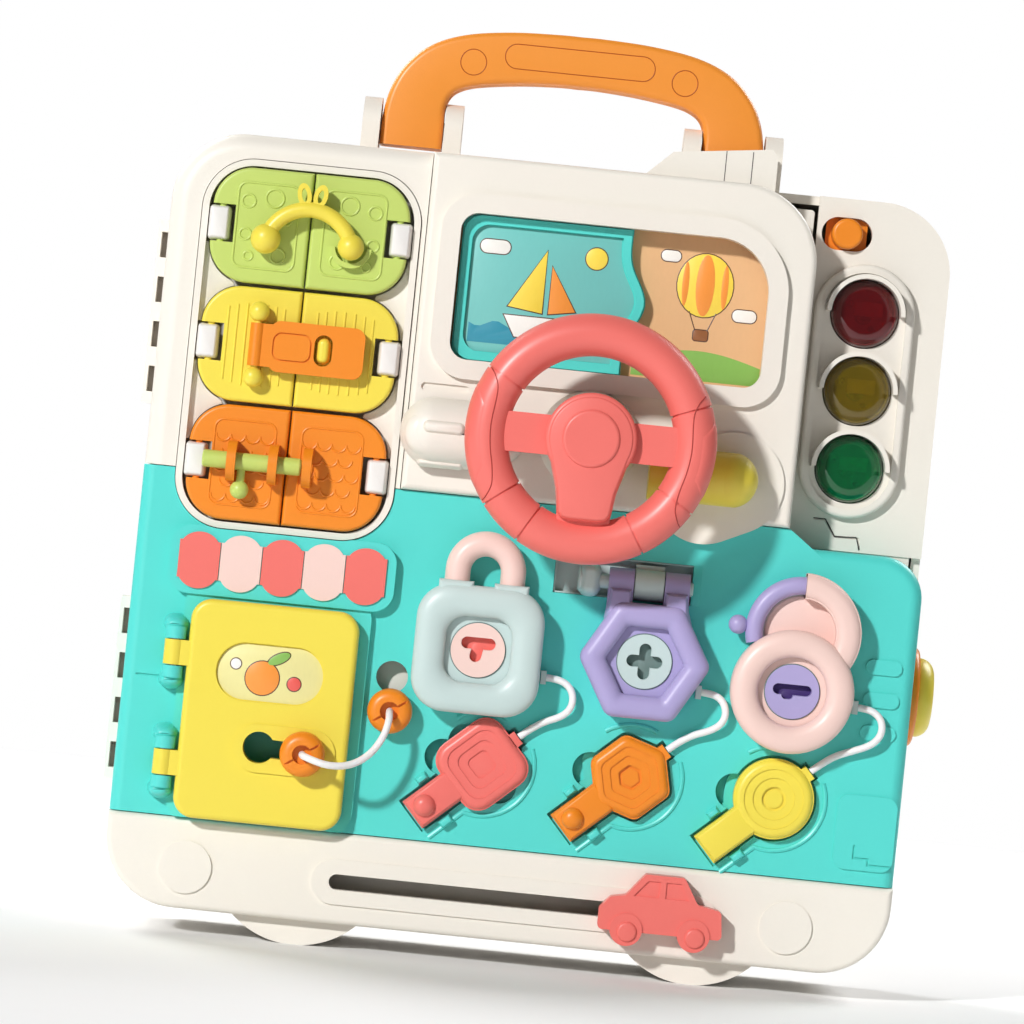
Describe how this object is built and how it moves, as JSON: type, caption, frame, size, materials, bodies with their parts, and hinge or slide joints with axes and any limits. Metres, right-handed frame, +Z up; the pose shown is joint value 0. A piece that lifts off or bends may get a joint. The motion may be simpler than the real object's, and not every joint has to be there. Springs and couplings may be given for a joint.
{
  "type": "busy board",
  "caption": "Bus-shaped plastic busy board in a carry case, with small latched doors, a shop door, padlocks and keys on cords, a steering wheel, traffic lamps and a sliding car.",
  "frame": {"origin": "on the ground, in the middle of the base of the box around the whole part", "axes": "+Z up to the carry handle, -Y towards the child (the play side), +X to the right as the child sees it, where the lamps are"},
  "size_m": [0.278, 0.1076, 0.314],
  "materials": {
    "ivory": "satin moulded ABS",
    "teal": "satin moulded ABS",
    "peach": "printed sheet",
    "yellow": "satin moulded ABS",
    "orange": "satin moulded ABS",
    "green": "satin moulded ABS",
    "coral": "satin moulded ABS",
    "pink": "satin moulded ABS",
    "ice_blue": "satin moulded ABS",
    "lilac": "satin moulded ABS",
    "lens_red": "clear tinted",
    "lens_amber": "clear tinted",
    "lens_green": "clear tinted",
    "circuit": "moulded",
    "cord": "smooth soft cord",
    "steel": "plain"
  },
  "bodies": {
    "case": {"rear_shell": "ivory", "battery_cover": "ivory", "case_screws": "steel", "left_panel": "ivory", "windscreen": "ivory", "picture_panel": "peach", "lower_front": "teal", "door_bay": "ivory", "base_bumper": "ivory", "wheel_feet": "ivory", "awning_red": "coral", "awning_pink": "pink", "lamp_panel": "ivory", "lamp_bezel": "ivory", "lamp_red": "lens_red", "lamp_amber": "lens_amber", "lamp_green": "lens_green", "lamp_board": "circuit", "handle_brackets": "ivory", "hinge_pins": "steel", "door_knuckles": "ivory", "lock_square": "ice_blue", "lock_round": "pink", "board_eyelets": "teal", "cord_square": "cord", "cord_hex": "cord", "cord_round": "cord", "button_collar": "orange"},
    "handle": {"carry_handle": "orange"},
    "wheel": {"steering_wheel": "coral", "hub_cap": "coral"},
    "picture": {"picture_slider": "teal"},
    "turn_stalk": {"turn_stalk": "ivory"},
    "wiper_stalk": {"wiper_stalk": "yellow"},
    "green_left": {"door_green_left": "green"},
    "green_right": {"door_green_right": "green"},
    "yellow_left": {"door_yellow_left": "yellow"},
    "yellow_right": {"door_yellow_right": "yellow"},
    "orange_left": {"door_orange_left": "orange"},
    "orange_right": {"door_orange_right": "orange"},
    "swing_latch": {"swing_latch": "yellow"},
    "hasp": {"hasp": "orange"},
    "bolt": {"door_bolt": "green"},
    "shop": {"shop_door": "yellow", "bead_lower": "orange", "bead_upper": "orange", "door_cord": "cord"},
    "dial_square": {"dial_square": "pink"},
    "dial_hex": {"dial_hex": "ice_blue"},
    "dial_round": {"dial_round": "lilac"},
    "shackle_square": {"shackle_square": "pink"},
    "lock_hex": {"lock_hex": "lilac"},
    "hex_axle": {"hex_axle": "ice_blue"},
    "shackle_round": {"shackle_round": "lilac"},
    "key_square": {"key_square": "coral"},
    "key_hex": {"key_hex": "orange"},
    "key_round": {"key_round": "yellow"},
    "car": {"car_slider": "coral"},
    "switch": {"slide_switch": "orange"},
    "button": {"side_button": "yellow"}
  },
  "joints": [
    {"name": "handle_fold", "type": "hinge", "parent": "case", "child": "handle", "pos_m": [-0.0025, 0.0258, 0.2775], "axis": [-1, 0, 0], "range_deg": [0, 90]},
    {"name": "wheel_spin", "type": "hinge", "parent": "case", "child": "wheel", "pos_m": [0.013, -0.0442, 0.1774], "axis": [0, -1, 0], "continuous": true},
    {"name": "picture_slide", "type": "slide", "parent": "case", "child": "picture", "axis": [1, 0, 0], "range_m": [0, 0.03]},
    {"name": "turn_stalk_tilt", "type": "hinge", "parent": "case", "child": "turn_stalk", "pos_m": [-0.0165, -0.0172, 0.1745], "axis": [0, -1, 0], "range_deg": [-10, 10]},
    {"name": "wiper_stalk_tilt", "type": "hinge", "parent": "case", "child": "wiper_stalk", "pos_m": [0.0405, -0.0172, 0.169], "axis": [0, -1, 0], "range_deg": [-8, 8]},
    {"name": "green_left_open", "type": "hinge", "parent": "case", "child": "green_left", "pos_m": [-0.11615, -0.0092, 0.2374], "axis": [0, 0, -1], "range_deg": [0, 90]},
    {"name": "green_right_open", "type": "hinge", "parent": "case", "child": "green_right", "pos_m": [-0.05685, -0.0092, 0.2374], "axis": [0, 0, 1], "range_deg": [0, 90]},
    {"name": "yellow_left_open", "type": "hinge", "parent": "case", "child": "yellow_left", "pos_m": [-0.11615, -0.0092, 0.1978], "axis": [0, 0, -1], "range_deg": [0, 90]},
    {"name": "yellow_right_open", "type": "hinge", "parent": "case", "child": "yellow_right", "pos_m": [-0.05685, -0.0092, 0.1978], "axis": [0, 0, 1], "range_deg": [0, 90]},
    {"name": "orange_left_open", "type": "hinge", "parent": "case", "child": "orange_left", "pos_m": [-0.11615, -0.0092, 0.1582], "axis": [0, 0, -1], "range_deg": [0, 90]},
    {"name": "orange_right_open", "type": "hinge", "parent": "case", "child": "orange_right", "pos_m": [-0.05685, -0.0092, 0.1582], "axis": [0, 0, 1], "range_deg": [0, 90]},
    {"name": "swing_latch_turn", "type": "hinge", "parent": "green_left", "child": "swing_latch", "pos_m": [-0.1006, -0.0167, 0.2331], "axis": [0, -1, 0], "range_deg": [0, 70]},
    {"name": "hasp_lift", "type": "hinge", "parent": "yellow_left", "child": "hasp", "pos_m": [-0.1003, -0.0147, 0.198], "axis": [0, 0, -1], "range_deg": [0, 110]},
    {"name": "bolt_slide", "type": "slide", "parent": "orange_left", "child": "bolt", "axis": [1, 0, 0], "range_m": [0, 0.007]},
    {"name": "shop_door_open", "type": "hinge", "parent": "case", "child": "shop", "pos_m": [-0.1171, -0.0147, 0.076], "axis": [0, 0, -1], "range_deg": [0, 110]},
    {"name": "dial_square_turn", "type": "hinge", "parent": "case", "child": "dial_square", "pos_m": [-0.0168, -0.0142, 0.1045], "axis": [0, -1, 0], "range_deg": [0, 90]},
    {"name": "dial_hex_turn", "type": "hinge", "parent": "lock_hex", "child": "dial_hex", "pos_m": [0.0385, -0.0142, 0.1063], "axis": [0, -1, 0], "range_deg": [0, 90]},
    {"name": "dial_round_turn", "type": "hinge", "parent": "case", "child": "dial_round", "pos_m": [0.0882, -0.0142, 0.1013], "axis": [0, -1, 0], "range_deg": [0, 90]},
    {"name": "shackle_square_lift", "type": "slide", "parent": "case", "child": "shackle_square", "axis": [0, 0, 1], "range_m": [0, 0.006]},
    {"name": "lock_hex_flip", "type": "hinge", "parent": "case", "child": "lock_hex", "pos_m": [0.0385, -0.0122, 0.1315], "axis": [-1, 0, 0], "range_deg": [0, 75]},
    {"name": "hex_axle_pull", "type": "slide", "parent": "case", "child": "hex_axle", "axis": [-1, 0, 0], "range_m": [0, 0.007]},
    {"name": "shackle_round_turn", "type": "hinge", "parent": "case", "child": "shackle_round", "pos_m": [0.0894, -0.0146, 0.121], "axis": [0, 1, 0], "range_deg": [0, 50]},
    {"name": "key_square_lift", "type": "slide", "parent": "case", "child": "key_square", "axis": [0, -1, 0], "range_m": [0, 0.01]},
    {"name": "key_hex_lift", "type": "slide", "parent": "case", "child": "key_hex", "axis": [0, -1, 0], "range_m": [0, 0.01]},
    {"name": "key_round_lift", "type": "slide", "parent": "case", "child": "key_round", "axis": [0, -1, 0], "range_m": [0, 0.01]},
    {"name": "car_slide", "type": "slide", "parent": "case", "child": "car", "axis": [1, 0, 0], "range_m": [-0.106, 0.008]},
    {"name": "switch_slide", "type": "slide", "parent": "case", "child": "switch", "axis": [1, 0, 0], "range_m": [-0.0025, 0.0025]},
    {"name": "button_press", "type": "slide", "parent": "case", "child": "button", "axis": [-1, 0, 0], "range_m": [0, 0.0025], "stiffness_N_per_m": 250}
  ],
  "couplings": [
    {"joint": "green_right_open", "follows": "green_left_open", "ratio": 1},
    {"joint": "yellow_right_open", "follows": "yellow_left_open", "ratio": 1},
    {"joint": "orange_right_open", "follows": "orange_left_open", "ratio": 1}
  ]
}
